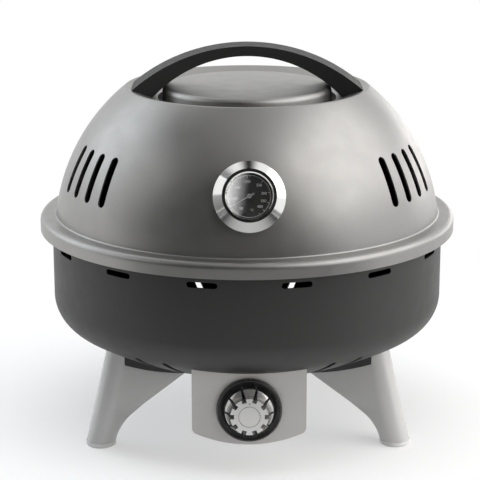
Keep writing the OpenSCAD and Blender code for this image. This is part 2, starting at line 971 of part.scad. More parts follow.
module panel_boss(x) {
    on_base(atan2(x, -panel_screw_y), norm([x, panel_screw_y])) {
        rod(panel_boss_d / 2, 0, panel_boss_h);
        translate([-panel_rib_w / 2, 0, 0]) cube([panel_rib_w, panel_boss_d, panel_boss_h]);
    }
}

// Tray with its open side to the back and its upper edge cut to the bowl
module control_panel() {
    color("#a3a39f")
    difference() {
        union() {
            translate([0, panel_y, 0])
                rotate([90, 0, 0])
                    mirror([0, 0, 1])
                        difference() {
                            linear_extrude(panel_depth) panel_outline(0);
                            translate([0, 0, panel_t]) linear_extrude(far) panel_outline(panel_t);
                        }
            for (x = [-panel_screw_x, panel_screw_x])
                intersection() {
                    panel_boss(x);
                    translate([-far / 2, panel_y + panel_t / 2, 0]) cube(far);
                }
        }
        bowl_ball(seat_gap);
        on_panel() rod(neck_d / 2 + hole_gap, -panel_t - 1, 1);
        on_panel_screws() screw_hole(-1, screw_grip + 1);
    }
}

module panel_screws() {
    color("silver")
    on_panel_screws() screw(-bowl_t - seat_gap, screw_grip);
}

// Dish round the knob: sloping side and a rounded rim
module knob_bezel() {
    edge_r = dish_rim_w / 2;
    color("#1b1c1d")
    on_panel()
        rotate_extrude() {
            polygon([
                [neck_d / 2 + hole_gap, 0],
                [dish_d / 2, 0],
                [dish_d / 2, dish_h - edge_r],
                [dish_d / 2 - dish_rim_w, dish_h - edge_r],
                [knob_d / 2 + dish_margin, dish_t],
                [neck_d / 2 + hole_gap, dish_t]
            ]);
            translate([dish_d / 2 - edge_r, dish_h - edge_r]) circle(r = edge_r);
        }
}

module tap_nut() {
    color("#c9b27a")
    on_panel()
        difference() {
            hexagon(tap_nut_d, dish_t, dish_t + tap_nut_h);
            rod(neck_d / 2 + run_gap, 0, dish_t + tap_nut_h + 1);
        }
}

// Brass tap: neck through the panel, round body, inlet and spark bosses, outlet leg down to the jet
module tap_body() {
    color("#b8a068")
    on_panel()
        difference() {
            union() {
                rod(neck_d / 2, -panel_t - 1, neck_top);
                rod(tap_d / 2, tap_back, -panel_t);
                translate([0, 0, inlet_z]) rotate([0, 90, 0]) rod(inlet_boss_r, 0, inlet_x);
                translate([0, 0, piezo_z]) rotate([0, -90, 0]) rod(spark_boss_r, 0, -piezo_x);
                translate([0, 0, outlet_z]) rotate([90, 0, 0]) rod(outlet_r, 0, -outlet_y + outlet_r);
                translate([0, outlet_y, 0]) rod(outlet_r - outlet_step, tap_back, outlet_z);
            }
            rod(spindle_d / 2 + run_gap, plug_front - 1, neck_top + 1);
            rod(plug_d / 2 + run_gap, plug_back - run_gap, plug_front + run_gap);
            translate([0, 0, inlet_z]) rotate([0, 90, 0]) rod(tail_d / 4, 0, inlet_x + 1);
            rod(gas_way_r, outlet_z, plug_back);
            translate([0, 0, outlet_z]) rotate([90, 0, 0]) rod(gas_way_r, 0, -outlet_y);
            translate([0, outlet_y, 0]) rod(gas_way_r, tap_back - 1, outlet_z);
        }
}

module spindle_shape(r, z_from, z_to, flat) {
    difference() {
        rod(r, z_from, z_to);
        translate([-far / 2, flat, z_from - 1]) cube([far, far, z_to - z_from + 2]);
    }
}

// Plug that turns in the tap and carries the sliding spindle
module tap_plug() {
    color("#c9b27a")
    on_panel()
        difference() {
            rod(plug_d / 2, plug_back, plug_front);
            spindle_shape(spindle_d / 2 + run_gap, spindle_back - knob_travel - flat_depth,
                plug_front + 1, spindle_flat + run_gap);
        }
}

// Round in the tap's neck, with a flat at each end
module tap_spindle() {
    round_from = plug_front + knob_travel + 1;
    round_to = knob_gap + knob_travel + 1;
    color("silver")
    on_panel() {
        spindle_shape(spindle_d / 2, spindle_back, round_from, spindle_flat);
        rod(spindle_d / 2, round_from, round_to);
        spindle_shape(spindle_d / 2, round_to, spindle_front, spindle_flat);
    }
}

// Half section of the knob, curving from the face out to the base
module knob_outline() {
    flare_w = (knob_d - knob_face_d) / 2;
    flare_r = (pow(flare_w, 2) + pow(knob_h - knob_edge, 2)) / (2 * flare_w);
    difference() {
        translate([0, knob_gap]) square([knob_d / 2, knob_h]);
        translate([knob_face_d / 2 + flare_r, knob_face]) circle(r = flare_r);
    }
}

// Flared knob cut into petals by slits that widen towards the face, with a hollow back
module knob() {
    color("#bfc0be")
    on_panel()
        difference() {
            rotate_extrude() knob_outline();
            for (i = [0 : petal_count - 1])
                rotate([0, 0, (i + 0.5) * 360 / petal_count])
                    translate([0, petal_floor_r, 0])
                        rotate([-90, 0, 0])
                            linear_extrude(knob_d)
                                polygon([
                                    [-petal_gap_back / 2, -knob_gap + 1],
                                    [petal_gap_back / 2, -knob_gap + 1],
                                    [petal_gap_front / 2, -knob_face - 1],
                                    [-petal_gap_front / 2, -knob_face - 1]
                                ]);
            rod(petal_floor_r - knob_wall, knob_gap - 1, knob_gap + knob_travel + knob_wall);
            rod(cap_d / 2 + seat_gap, knob_face - cap_t, knob_face + 1);
            spindle_shape(spindle_d / 2 + run_gap, knob_gap, spindle_front + run_gap,
                spindle_flat + run_gap);
        }
}

module knob_cap() {
    color("#a9aaa8")
    on_panel() rod(cap_d / 2, knob_face - cap_t, knob_face);
}

// Hose tail on the tap's side boss, pointing to the right
module gas_inlet() {
    color("#c9b27a")
    on_panel()
        translate([inlet_x, 0, inlet_z])
            rotate([0, 90, 0])
                difference() {
                    union() {
                        hexagon(inlet_nut_d, 0, inlet_nut_h);
                        rod(tail_d / 2, inlet_nut_h, inlet_nut_h + tail_len);
                    }
                    rod(tail_d / 4, -1, inlet_nut_h + tail_len + 1);
                }
}

module gas_jet() {
    color("#c9b27a")
    on_panel()
        translate([0, outlet_y, 0])
            difference() {
                union() {
                    hexagon(jet_nut_d, tap_back - jet_len / 2, tap_back);
                    rod(jet_r, jet_tip, tap_back - jet_len / 2);
                }
                rod(jet_hole_r, jet_tip - 1, tap_back + 1);
            }
}

// Flared pipe from the jet to the middle of the bowl, with an elbow up to the burner
module mixing_pipe(d, over) {
    translate([0, 0, tube_z]) {
        sphere(r = tube_r - d);
        rotate([90, 0, 0]) {
            rod(tube_r - d, 0, -mouth_y - mouth_len / 2);
            translate([0, 0, -mouth_y - mouth_len])
                cylinder(r1 = tube_r - d, r2 = mouth_d / 2 - d, h = mouth_len);
            rod(mouth_d / 2 - d, -mouth_y - 0.5, -mouth_y + over);
        }
    }
    rod(tube_r - d, tube_z, bowl_inside + burner_stem_h + over);
}

module mixing_tube() {
    color("#a8a9a6")
    difference() {
        mixing_pipe(0, 0);
        mixing_pipe(tube_wall, 1);
    }
}

// Stem, flange and open cup of the burner
module burner_base() {
    bore = tube_r + run_gap;
    stem_r = tube_r + burner_wall;
    color("#8f8f8c")
    difference() {
        translate([0, 0, bowl_inside])
            rotate_extrude()
                polygon([
                    [bore, -bowl_t],
                    [burner_flange_r, -bowl_t],
                    [burner_flange_r, burner_flange_t],
                    [stem_r, burner_flange_t],
                    [stem_r, burner_stem_h - cup_floor_t],
                    [burner_r, burner_stem_h],
                    [burner_r, cap_seat],
                    [burner_r - cup_wall, cap_seat],
                    [burner_r - cup_wall, burner_stem_h + cup_floor_t],
                    [tube_r - tube_wall, burner_stem_h + cup_floor_t],
                    [tube_r - tube_wall, burner_stem_h],
                    [bore, burner_stem_h]
                ]);
        bowl_under(burner_flange_r + 1);
        on_burner_screws() screw_hole(-bowl_t - burner_flange_t - 3, 1);
    }
}

module burner_cap() {
    color("#77787a")
    translate([0, 0, bowl_inside + cap_seat])
        difference() {
            rod(burner_r, 0, burner_cap_h);
            rod(burner_r - cap_wall, -1, burner_cap_h - cap_top_t);
            for (i = [0 : port_count - 1])
                rotate([0, 0, i * 360 / port_count])
                    translate([-port_w / 2, burner_r - cap_wall - 2, -1])
                        cube([port_w, 3 * cap_wall, port_h + 1]);
        }
}

// Screws with their heads under the bowl and their threads in the burner's flange
module burner_screws() {
    color("silver")
    on_burner_screws()
        mirror([0, 0, 1]) screw(-seat_gap, bowl_t + burner_flange_t);
}

// Shallow cone that spreads the heat, on three feet
module heat_plate() {
    edge_z = bowl_inside + heat_plate_h;
    plate_r = heat_plate_d / 2;
    foot_in = 8;
    foot_top = edge_z + heat_plate_rise * foot_in / plate_r + heat_plate_t / 2;
    color("#8c8d8b")
    difference() {
        union() {
            translate([0, 0, edge_z])
                rotate_extrude()
                    polygon([
                        [0, heat_plate_rise],
                        [0, heat_plate_rise + heat_plate_t],
                        [plate_r, heat_plate_t],
                        [plate_r, 0]
                    ]);
            for (a = [0, 120, 240])
                at_az(a)
                    translate([0, -plate_r + foot_in, 0]) rod(plate_foot_r, bowl_bottom, foot_top);
        }
        bowl_under(plate_r);
    }
}

// Cast grid: outer ring, parallel bars and two cross ribs
module grill_grate() {
    color("#2c2c2c")
    translate([0, 0, grate_z])
        linear_extrude(grate_h) {
            difference() {
                circle(r = grate_r);
                circle(r = grate_r - grate_ring_w);
            }
            intersection() {
                circle(r = grate_r - grate_ring_w / 2);
                union() {
                    for (i = [-bar_half : bar_half])
                        translate([i * bar_pitch - bar_w / 2, -grate_r]) square([bar_w, 2 * grate_r]);
                    for (y = [-0.4, 0.4])
                        translate([-grate_r, y * grate_r - bar_w / 2]) square([2 * grate_r, bar_w]);
                }
            }
        }
}

// Angle lugs on the bowl's wall, between the air slots
module grate_supports() {
    wall_r = bowl_r - bowl_t - seat_gap;
    shelf_in = grate_r - lug_reach;
    color("#4a4b4c")
    for (i = lug_steps)
        at_az(i * slot_pitch)
            intersection() {
                translate([0, 0, grate_z - lug_h])
                    rotate_extrude()
                        difference() {
                            translate([shelf_in, 0]) square([wall_r - shelf_in, lug_h]);
                            translate([0, -lug_t]) square([wall_r - lug_t, lug_h]);
                        }
                translate([-lug_w / 2, -far, 0]) cube([lug_w, far, far]);
            }
}

module igniter_place() {
    translate(igniter_xy) children();
}

// Ceramic tube through the bowl, with a collar on the bowl's inner face
module igniter_insulator() {
    collar_top = bowl_height(igniter_r, -bowl_t) + collar_h;
    color("#e6e2d6")
    difference() {
        union() {
            igniter_place() rod(insulator_r, insulator_low, bowl_inside + igniter_h);
            difference() {
                igniter_place() rod(insulator_r + collar_w, bowl_bottom, collar_top);
                bowl_under(igniter_r + insulator_r + collar_w + 1);
            }
        }
        igniter_place() rod(electrode_r + run_gap, insulator_low - 1, bowl_inside + igniter_h + 1);
    }
}

// Wire through the insulator, bent towards the burner's ports
module igniter_electrode() {
    tip = (burner_r + spark_gap) / igniter_r;
    color("#9a9a98") {
        igniter_place() rod(electrode_r, electrode_low, electrode_bend);
        link([tip * igniter_xy.x, tip * igniter_xy.y, electrode_bend],
            [igniter_xy.x, igniter_xy.y, electrode_bend], electrode_r);
    }
}

// Lead from the tap's spark boss to the electrode, under the bowl
module igniter_lead() {
    low_z = electrode_low - lead_dip;
    start = [piezo_x, panel_y - piezo_z, axis_z];
    over = [igniter_xy.x, start.y, axis_z];
    under = [igniter_xy.x, start.y, low_z];
    below = [igniter_xy.x, igniter_xy.y, low_z];
    color("#2a2a2a") {
        link(start, over, lead_r);
        link(over, under, lead_r);
        link(under, below, lead_r);
        igniter_place() rod(lead_r, low_z, electrode_low);
    }
}

lid_shell();
carry_handle();
handle_screws();
thermometer_bezel();
thermometer_case();
thermometer_dial();
thermometer_glass();
thermometer_ring();
thermometer_gasket();
thermometer_probe();
thermometer_nut();
thermometer_needle();
bowl_shell();
leg_left();
leg_right();
leg_rear();
leg_saddles();
foot_pads();
leg_screws();
control_panel();
panel_screws();
knob_bezel();
tap_body();
tap_nut();
tap_plug();
tap_spindle();
knob();
knob_cap();
gas_inlet();
gas_jet();
mixing_tube();
burner_base();
burner_cap();
burner_screws();
heat_plate();
grill_grate();
grate_supports();
igniter_insulator();
igniter_electrode();
igniter_lead();
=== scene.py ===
import json
import math

import bmesh
import bpy
from mathutils import Matrix, Vector


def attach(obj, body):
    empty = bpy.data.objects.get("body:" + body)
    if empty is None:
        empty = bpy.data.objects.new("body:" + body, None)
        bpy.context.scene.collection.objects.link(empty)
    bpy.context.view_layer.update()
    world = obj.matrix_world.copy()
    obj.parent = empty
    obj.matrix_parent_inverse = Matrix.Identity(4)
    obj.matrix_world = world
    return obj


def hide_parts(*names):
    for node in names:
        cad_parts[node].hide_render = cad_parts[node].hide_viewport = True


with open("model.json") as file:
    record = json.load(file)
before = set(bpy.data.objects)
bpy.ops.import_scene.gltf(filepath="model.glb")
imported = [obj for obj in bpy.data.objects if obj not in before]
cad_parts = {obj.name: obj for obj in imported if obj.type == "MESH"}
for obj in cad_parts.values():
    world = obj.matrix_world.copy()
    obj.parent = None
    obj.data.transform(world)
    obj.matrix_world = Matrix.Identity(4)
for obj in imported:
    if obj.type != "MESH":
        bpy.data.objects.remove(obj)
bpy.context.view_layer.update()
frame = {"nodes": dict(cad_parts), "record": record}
nodes = frame["nodes"]
scene = bpy.context.scene


# Materials

NOISE_LOW, NOISE_HIGH = 0.3, 0.7  # most of a noise texture lies between these


class Nodes:
    """Short names for building a material's node tree."""

    def __init__(self, name):
        self.mat = bpy.data.materials.new(name)
        self.mat.use_nodes = True
        self.tree = self.mat.node_tree
        self.tree.nodes.clear()
        self.out = self.tree.nodes.new("ShaderNodeOutputMaterial")
        self.bsdf = self.tree.nodes.new("ShaderNodeBsdfPrincipled")
        self.link(self.bsdf.outputs[0], self.out.inputs[0])
        self.coord = self.tree.nodes.new("ShaderNodeTexCoord").outputs["Object"]

    def link(self, a, b):
        self.tree.links.new(a, b)

    def set(self, **values):
        for key, value in values.items():
            self.bsdf.inputs[key.replace("_", " ")].default_value = value

    def noise(self, scale, detail=2.0, rough=0.5, stretch=None):
        n = self.tree.nodes.new("ShaderNodeTexNoise")
        n.inputs["Scale"].default_value = scale
        n.inputs["Detail"].default_value = detail
        n.inputs["Roughness"].default_value = rough
        vector = self.coord
        if stretch:
            m = self.tree.nodes.new("ShaderNodeMapping")
            m.inputs["Scale"].default_value = stretch
            self.link(vector, m.inputs["Vector"])
            vector = m.outputs[0]
        self.link(vector, n.inputs["Vector"])
        return n.outputs["Fac"]

    def ramp(self, fac, dark, light, start=NOISE_LOW):
        r = self.tree.nodes.new("ShaderNodeValToRGB")
        for e, position, color in zip(r.color_ramp.elements, (start, NOISE_HIGH), (dark, light)):
            e.position = position
            e.color = (*color, 1.0)
        self.link(fac, r.inputs[0])
        return r.outputs[0]

    def drift(self, fac, color, spread, start=NOISE_LOW):
        """Colour that drifts by a share of itself to either side."""
        dark = [c * (1 - spread) for c in color]
        light = [min(c * (1 + spread), 1.0) for c in color]
        return self.ramp(fac, dark, light, start)

    def map(self, fac, low, high):
        m = self.tree.nodes.new("ShaderNodeMapRange")
        m.inputs["From Min"].default_value = NOISE_LOW
        m.inputs["From Max"].default_value = NOISE_HIGH
        m.inputs["To Min"].default_value = low
        m.inputs["To Max"].default_value = high
        self.link(fac, m.inputs["Value"])
        return m.outputs[0]

    def color(self, socket):
        self.link(socket, self.bsdf.inputs["Base Color"])

    def rough(self, socket):
        self.link(socket, self.bsdf.inputs["Roughness"])

    def bump(self, height, distance):
        b = self.tree.nodes.new("ShaderNodeBump")
        b.inputs["Distance"].default_value = distance
        b.inputs["Strength"].default_value = 1.0
        self.link(height, b.inputs["Height"])
        self.link(b.outputs[0], self.bsdf.inputs["Normal"])


def grey(v, warm):
    """Grey that leans to red by the share warm."""
    return (v * (1 + warm), v, v * (1 - warm))


def lacquer(name, value, warm, metallic, rough, spread, flake, peel, coat=0.0, coat_rough=0.25):
    """Sprayed metallic paint: fine flake, slow colour drift, orange peel."""
    n = Nodes(name)
    fine = n.noise(2600, 1.0)
    slow = n.noise(14, 3.0)
    mix = n.tree.nodes.new("ShaderNodeMix")
    mix.data_type = "RGBA"
    mix.inputs[0].default_value = 0.5
    n.link(n.drift(slow, grey(value, warm), spread), mix.inputs[6])
    n.link(n.drift(fine, grey(value, warm), flake, start=0.35), mix.inputs[7])
    n.color(mix.outputs[2])
    n.rough(n.map(n.noise(60, 4.0), rough - 0.035, rough + 0.035))
    n.bump(n.noise(700, 2.0), peel)
    n.set(Metallic=metallic, Coat_Weight=coat, Coat_Roughness=coat_rough)
    return n.mat


def plastic(name, value, rough, grain, depth, warm=0.0, spread=0.12, coat=0.0, shine=0.5):
    """Moulded plastic or ceramic with a fine grain."""
    n = Nodes(name)
    n.color(n.drift(n.noise(22, 4.0), grey(value, warm), spread))
    n.rough(n.map(n.noise(150, 3.0), rough - 0.05, rough + 0.05))
    n.bump(n.noise(grain, 3.0, 0.6), depth)
    n.set(Coat_Weight=coat, Coat_Roughness=0.08, Specular_IOR_Level=shine)
    return n.mat


def metal(name, color, rough, spread, scale, depth, stretch=None):
    """Bare metal with tool or brush marks."""
    n = Nodes(name)
    marks = n.noise(scale, 4.0, 0.6, stretch)
    n.color(n.drift(n.noise(25, 3.0), color, spread))
    n.rough(n.map(marks, rough * 0.8, rough * 1.25))
    n.bump(marks, depth)
    n.set(Metallic=1.0)
    return n.mat


def glass():
    n = Nodes("clear_glass_look")
    n.color(n.ramp(n.noise(40, 2.0), (0.97, 0.985, 0.98), (1.0, 1.0, 1.0)))
    n.rough(n.map(n.noise(90, 3.0), 0.0, 0.02))
    n.set(Transmission_Weight=1.0, IOR=1.45)
    return n.mat


def iron():
    n = Nodes("cast_iron_look")
    pores = n.noise(900, 4.0, 0.65)
    n.color(n.ramp(n.noise(45, 4.0), (0.018, 0.018, 0.019), (0.04, 0.04, 0.041)))
    n.rough(n.map(pores, 0.42, 0.62))
    n.bump(pores, 0.00015)
    n.set(Metallic=0.2)
    return n.mat


def print_ink():
    n = Nodes("dial_print_look")
    n.color(n.ramp(n.noise(900, 3.0), (0.6, 0.6, 0.58), (0.78, 0.78, 0.76)))
    n.rough(n.map(n.noise(400, 2.0), 0.4, 0.55))
    n.bump(n.noise(2500, 2.0), 0.000004)
    return n.mat


# Depths of grain and marks are in metres
LOOKS = {
    "lid_paint": lacquer("lid_paint_look", value=0.34, warm=0.015, metallic=0.95, rough=0.4,
                         spread=0.03, flake=0.14, peel=2e-5),
    "bowl_paint": lacquer("bowl_paint_look", value=0.02, warm=0.02, metallic=0.0, rough=0.5,
                          spread=0.08, flake=0.3, peel=3e-5),
    "leg_silver": lacquer("leg_silver_look", value=0.46, warm=0.005, metallic=0.2, rough=0.42,
                          spread=0.03, flake=0.08, peel=1e-5, coat=0.7, coat_rough=0.22),
    "panel_grey": lacquer("panel_grey_look", value=0.38, warm=0.02, metallic=0.2, rough=0.45,
                          spread=0.03, flake=0.1, peel=2e-5),
    "knob_silver": lacquer("knob_silver_look", value=0.5, warm=0.01, metallic=0.72, rough=0.2,
                           spread=0.03, flake=0.1, peel=1e-5, coat=0.3),
    "handle_black": plastic("handle_black_look", value=0.016, rough=0.52, grain=1500, depth=4e-5, shine=0.3),
    "dial_black": plastic("dial_black_look", value=0.012, rough=0.5, grain=1800, depth=1e-5),
    "saddle_dark": plastic("saddle_dark_look", value=0.03, rough=0.55, grain=1200, depth=5e-5),
    "pad_grey": plastic("pad_grey_look", value=0.6, rough=0.5, grain=1200, depth=3e-5, spread=0.06),
    "bezel_black": plastic("bezel_black_look", value=0.014, rough=0.3, grain=900, depth=1e-5, coat=0.3),
    "ceramic": plastic("ceramic_look", value=0.75, rough=0.25, grain=600, depth=1e-5, warm=0.04,
                       spread=0.05, coat=0.5),
    "lead_black": plastic("lead_black_look", value=0.02, rough=0.6, grain=900, depth=3e-5),
    "gasket_black": plastic("gasket_black_look", value=0.008, rough=0.6, grain=900, depth=3e-5),
    "chrome": metal("chrome_look", (0.84, 0.84, 0.83), rough=0.12, spread=0.02, scale=600, depth=1e-6),
    "needle_silver": metal("needle_silver_look", (0.8, 0.8, 0.79), rough=0.3, spread=0.05, scale=900,
                           depth=1e-5),
    "brass": metal("brass_look", (0.62, 0.47, 0.2), rough=0.3, spread=0.08, scale=500, depth=2e-5),
    "steel": metal("steel_look", (0.5, 0.5, 0.49), rough=0.34, spread=0.06, scale=300, depth=3e-5,
                   stretch=(1, 1, 12)),
    "burner_cast": metal("burner_cast_look", (0.42, 0.42, 0.42), rough=0.5, spread=0.12, scale=700,
                         depth=1e-4),
    "clear_glass": glass(),
    "cast_iron": iron(),
}
for part in frame["record"]["subparts"]:
    piece = nodes[part["node"]]
    piece.data.materials.clear()
    piece.data.materials.append(LOOKS[part["material_slot"]])


# Ways of making pieces, in millimetres

AROUND = 288  # faces round a turned shape
SHEET_SHARP = 30  # angle in degrees from which an edge of a sheet stays sharp


def add_piece(name, points, faces, look, body, slot, sharp=40):
    """Named piece that rides on a body, smooth where its faces meet at less than the angle sharp."""
    mesh = bpy.data.meshes.new(name)
    mesh.from_pydata([[c / 1000 for c in q] for q in points], [], faces)
    mesh.materials.append(look)
    mesh.shade_smooth()
    mesh.set_sharp_from_angle(angle=math.radians(sharp))
    mesh.update()
    obj = bpy.data.objects.new(name, mesh)
    scene.collection.objects.link(obj)
    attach(obj, body)
    return obj


def placed(origin, right, up, out):
    """Function from local to shared millimetres."""
    def place(x, y, z):
        return [origin[i] + right[i] * x + up[i] * y + out[i] * z for i in range(3)]
    return place


def turned(v, azimuth):
    """Point turned about the vertical axis."""
    a = math.radians(azimuth)
    return (v[0] * math.cos(a) - v[1] * math.sin(a), v[0] * math.sin(a) + v[1] * math.cos(a), v[2])


def aimed(azimuth, origin, up, out):
    """Place of a frame that is turned about the vertical axis from the front."""
    return placed(*(turned(v, azimuth) for v in (origin, (1, 0, 0), up, out)))


def arc(r, z, radius, start, end, steps):
    """Points of an arc round (r, z) from one angle to another in degrees."""
    angles = (math.radians(start + (end - start) * i / steps) for i in range(steps + 1))
    return [(r + radius * math.cos(a), z + radius * math.sin(a)) for a in angles]


def line(a, b, steps):
    """Points that divide the stretch from a to b, without its ends."""
    return [tuple(p + (q - p) * i / steps for p, q in zip(a, b)) for i in range(1, steps)]


def disc(radius, steps=48):
    """Outline of a circle."""
    return arc(0, 0, radius, 0, 360 * (1 - 1 / steps), steps - 1)


def stadium(length, width):
    """Outline of a slot with round ends, long in y."""
    end = [(x, y + (length - width) / 2) for x, y in arc(0, 0, width / 2, 0, 180, 16)]
    return end + [(-x, -y) for x, y in end]


def lathe(section, base=0.0):
    """Solid of revolution about the vertical axis of a section that starts and ends on it."""
    points, faces, rings = [], [], []
    for r, z in section:
        count = AROUND if r > 0 else 1
        rings.append([len(points) + i % count for i in range(AROUND)])
        for i in range(count):
            a = 2 * math.pi * i / AROUND
            points.append((r * math.cos(a), r * math.sin(a), base + z))
    for low, high in zip(rings, rings[1:]):
        for i in range(AROUND):
            k = (i + 1) % AROUND
            face = (low[i], high[i], high[k], low[k])
            faces.append(tuple(dict.fromkeys(face)))
    return points, faces


def prism(outline, place, low, high):
    """Solid over an outline on a plane, between two heights from it."""
    n = len(outline)
    points = [place(x, y, z) for z in (low, high) for x, y in outline]
    faces = [tuple(range(n))[::-1], tuple(range(n, 2 * n))]
    return points, faces + [(i, (i + 1) % n, n + (i + 1) % n, n + i) for i in range(n)]


def joined(*shapes):
    """Several shapes as one."""
    points, faces = [], []
    for more, sides in shapes:
        faces.extend(tuple(v + len(points) for v in f) for f in sides)
        points.extend(more)
    return points, faces


def carve(shape, tools):
    """Shape with the tools cut out of it."""
    pair = []
    for name, (points, faces) in (("blank", shape), ("tools", tools)):
        mesh = bpy.data.meshes.new(name)
        mesh.from_pydata(points, [], faces)
        pair.append(bpy.data.objects.new(name, mesh))
        scene.collection.objects.link(pair[-1])
    change = pair[0].modifiers.new("cut", "BOOLEAN")
    change.operation = "DIFFERENCE"
    change.solver = "EXACT"
    change.object = pair[1]
    bpy.context.view_layer.update()
    mesh = bpy.data.meshes.new_from_object(pair[0].evaluated_get(bpy.context.evaluated_depsgraph_get()))
    shape = [tuple(v.co) for v in mesh.vertices], [tuple(f.vertices) for f in mesh.polygons]
    for used in [mesh] + [obj.data for obj in pair]:
        bpy.data.meshes.remove(used)
    return shape


# Lid, heights from the foot of its skirt

LID_Z = 208.0  # foot of the skirt above the ground
LID_T = 1.8
RIM_R = 210.0
RIM_ROUND = 6.0
SKIRT = 15.0
FLANGE_T = 2.4
DOME_FOOT = 194.0  # radius of the dome where it meets the flange
DOME_DROP = 10.5  # centre of the dome below the skirt's foot
DOME_FILLET = 2.0
LIP_R = 121.07  # centre of the lip's round
LIP_ROUND = 3.0
LEDGE = math.radians(20)  # fall of the ledge from the lip to the groove
GROOVE_R = 89.5
GROOVE_DEPTH = 20.0  # below the top of the lip
BOSS_R = 85.0
BOSS_RISE = 0.8  # above the top of the lip
BOSS_ROUND = 6.0
DOME_R = math.hypot(DOME_FOOT, SKIRT + DOME_DROP)
LIP_Z = math.sqrt((DOME_R - LIP_ROUND) ** 2 - LIP_R ** 2) - DOME_DROP

# Holes in the lid, azimuths from the front, each cut from its depth to its height
ELEV = math.radians(24.3)  # how far up the thermometer and the vents face
DOME_UP = (0, math.sin(ELEV), math.cos(ELEV))
DOME_OUT = (0, -math.cos(ELEV), math.sin(ELEV))
ON_DOME = (0, DOME_OUT[1] * DOME_R, LID_Z - DOME_DROP + DOME_OUT[2] * DOME_R)
VENT_L, VENT_W = 50.0, 9.9
VENT_AZIMUTH, VENT_PITCH = 60.0, 7.5
VENT_STEPS = (-1.5, -0.5, 0.5, 1.5)
VENT_CUT = (-20, 20)
STEM_HOLE_R = 5.2
STEM_CUT = (-12, 10)
SCREW_HOLE_R, SCREW_FACES = 2.7, 24
HANDLE_SCREW_AT = 104.6  # distance from the axis
HANDLE_SCREWS = (-97, -83, 83, 97)
HANDLE_CUT = (-4, 2)


def ledge_height(r, d):
    """Height of the ledge at a radius, d inside its face."""
    drop = LIP_R - (LIP_ROUND - d) * math.sin(LEDGE) - r
    return LIP_Z + (LIP_ROUND - d) * math.cos(LEDGE) - drop * math.tan(LEDGE)


def lid_wall(d, low):
    """Half section of the lid from the axis to the dome's foot at height low, d inside its face."""
    groove = LIP_Z + LIP_ROUND - GROOVE_DEPTH - d
    boss = LIP_Z + LIP_ROUND + BOSS_RISE
    lip = math.degrees(math.atan2(LIP_Z + DOME_DROP, LIP_R))
    foot = math.degrees(math.asin((low + DOME_DROP) / (DOME_R - d)))
    ledge = (GROOVE_R + d, ledge_height(GROOVE_R + d, d))
    points = [(0, boss - d)] + line((0, boss - d), (BOSS_R - BOSS_ROUND, boss - d), 5)
    points += arc(BOSS_R - BOSS_ROUND, boss - BOSS_ROUND, BOSS_ROUND - d, 90, 0, 12)
    points += [(BOSS_R - d, groove), (GROOVE_R + d, groove), ledge]
    edge = arc(LIP_R, LIP_Z, LIP_ROUND - d, 90 + math.degrees(LEDGE), lip, 12)
    points += line(ledge, edge[0], 8) + edge
    return points + arc(0, -DOME_DROP, DOME_R - d, lip, foot, 56)[1:]


def lid_section():
    """Section of the lid's sheet, from the axis over its outer face and back inside."""
    under, corner = SKIRT - FLANGE_T, RIM_ROUND - FLANGE_T
    hollow = RIM_R - LID_T
    outer = lid_wall(0, SKIRT + DOME_FILLET)
    outer += arc(DOME_FOOT + DOME_FILLET, SKIRT + DOME_FILLET, DOME_FILLET, 180, 270, 8)
    outer += line(outer[-1], (RIM_R - RIM_ROUND, SKIRT), 3)
    outer += arc(RIM_R - RIM_ROUND, SKIRT - RIM_ROUND, RIM_ROUND, 90, 0, 16)
    outer += line(outer[-1], (RIM_R, 0), 4) + [(RIM_R, 0), (hollow, 0)]
    outer += line((hollow, 0), (hollow, under - corner), 3)
    outer += arc(hollow - corner, under - corner, corner, 0, 90, 8)
    return outer + lid_wall(LID_T, under)[::-1]


def lid_holes():
    """Cutters of the vents, the thermometer's stem hole and the handle's screw holes."""
    vents = [side * (VENT_AZIMUTH + step * VENT_PITCH) for side in (-1, 1) for step in VENT_STEPS]
    holes = [prism(stadium(VENT_L, VENT_W), aimed(a, ON_DOME, DOME_UP, DOME_OUT), *VENT_CUT) for a in vents]
    holes.append(prism(disc(STEM_HOLE_R), aimed(0, ON_DOME, DOME_UP, DOME_OUT), *STEM_CUT))
    on_ledge = (0, -HANDLE_SCREW_AT, LID_Z + ledge_height(HANDLE_SCREW_AT, 0))
    tilt = (0, math.cos(LEDGE), -math.sin(LEDGE)), (0, math.sin(LEDGE), math.cos(LEDGE))
    for azimuth in HANDLE_SCREWS:
        holes.append(prism(disc(SCREW_HOLE_R, SCREW_FACES), aimed(azimuth, on_ledge, *tilt), *HANDLE_CUT))
    return joined(*holes)


lid = carve(lathe(lid_section(), LID_Z), lid_holes())
lid = add_piece("lid_smooth", *lid, LOOKS["lid_paint"], "lid", "lid_paint", SHEET_SHARP)
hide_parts("lid_shell")


# Bowl, heights from the ground

BOWL_C = 419.7  # centre of the curved bottom
BOWL_R = 359.0  # radius of the curved bottom's outer face
BOWL_T = 2.0
WALL_R = 198.0
WALL_TOP = 220.6
BOWL_LIP = 5.0  # reach of the lip beyond the wall
CORNER_R = 35.0
CORNER_AT = WALL_R - CORNER_R
CORNER_Z = BOWL_C - math.sqrt((BOWL_R - CORNER_R) ** 2 - CORNER_AT ** 2)

